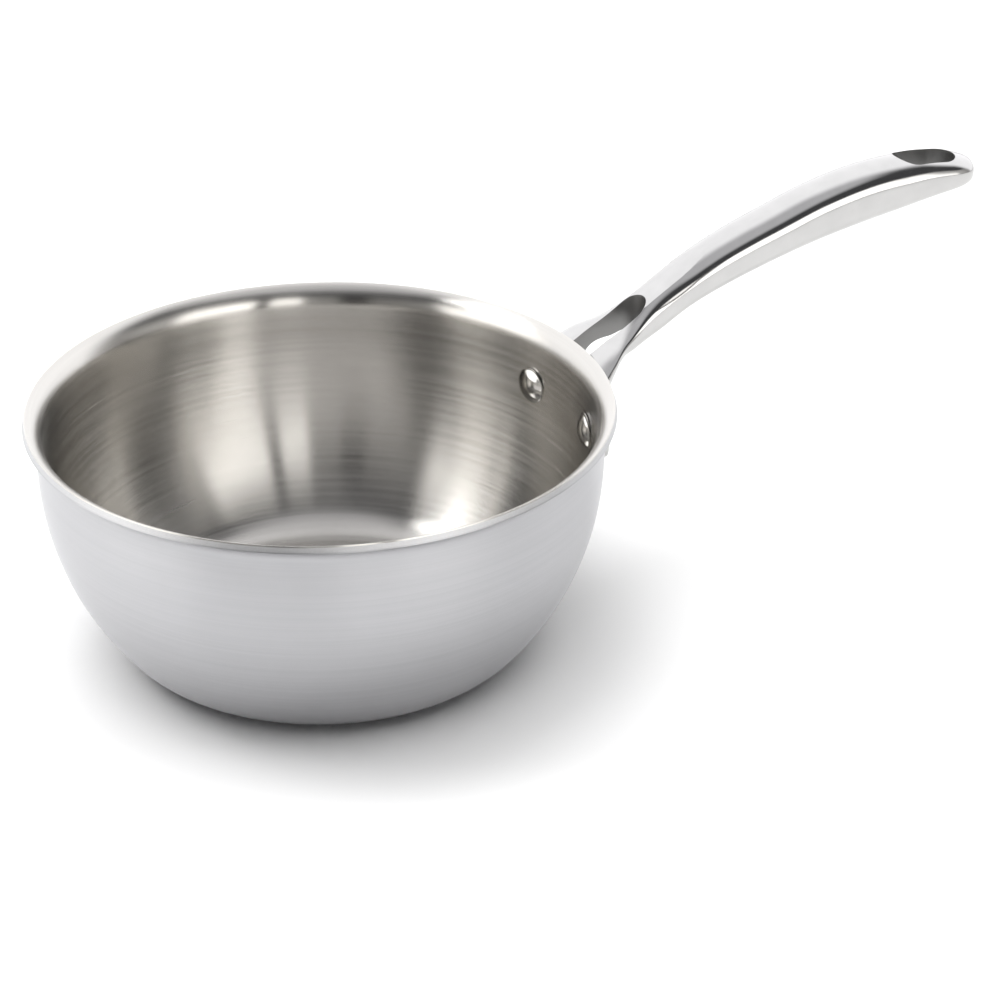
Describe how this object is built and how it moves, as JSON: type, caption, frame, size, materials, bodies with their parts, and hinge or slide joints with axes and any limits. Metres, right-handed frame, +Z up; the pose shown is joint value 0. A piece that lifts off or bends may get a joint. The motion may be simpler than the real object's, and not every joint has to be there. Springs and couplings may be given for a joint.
{
  "type": "saucier pan",
  "caption": "Round-bellied saucier pan of clad stainless steel with a pouring lip and an arched, forked cast handle held by two rivets.",
  "frame": {"origin": "centre of the flat underside of the bowl, where it rests on the stove", "axes": "+Z up through the bowl, +X from the bowl's centre along the handle, +Y to the handle's left"},
  "size_m": [0.3795, 0.2108, 0.1433],
  "materials": {
    "cooking_surface": "fine brushed",
    "aluminium_core": "plain, seen only at the lip's edge",
    "outer_shell": "satin brushed around",
    "handle": "polished cast stainless",
    "rivets": "polished stainless"
  },
  "bodies": {
    "root": {"cooking_surface": "cooking_surface", "aluminium_core": "aluminium_core", "outer_shell": "outer_shell", "handle": "handle", "rivet_left": "rivets", "rivet_right": "rivets"}
  },
  "joints": []
}
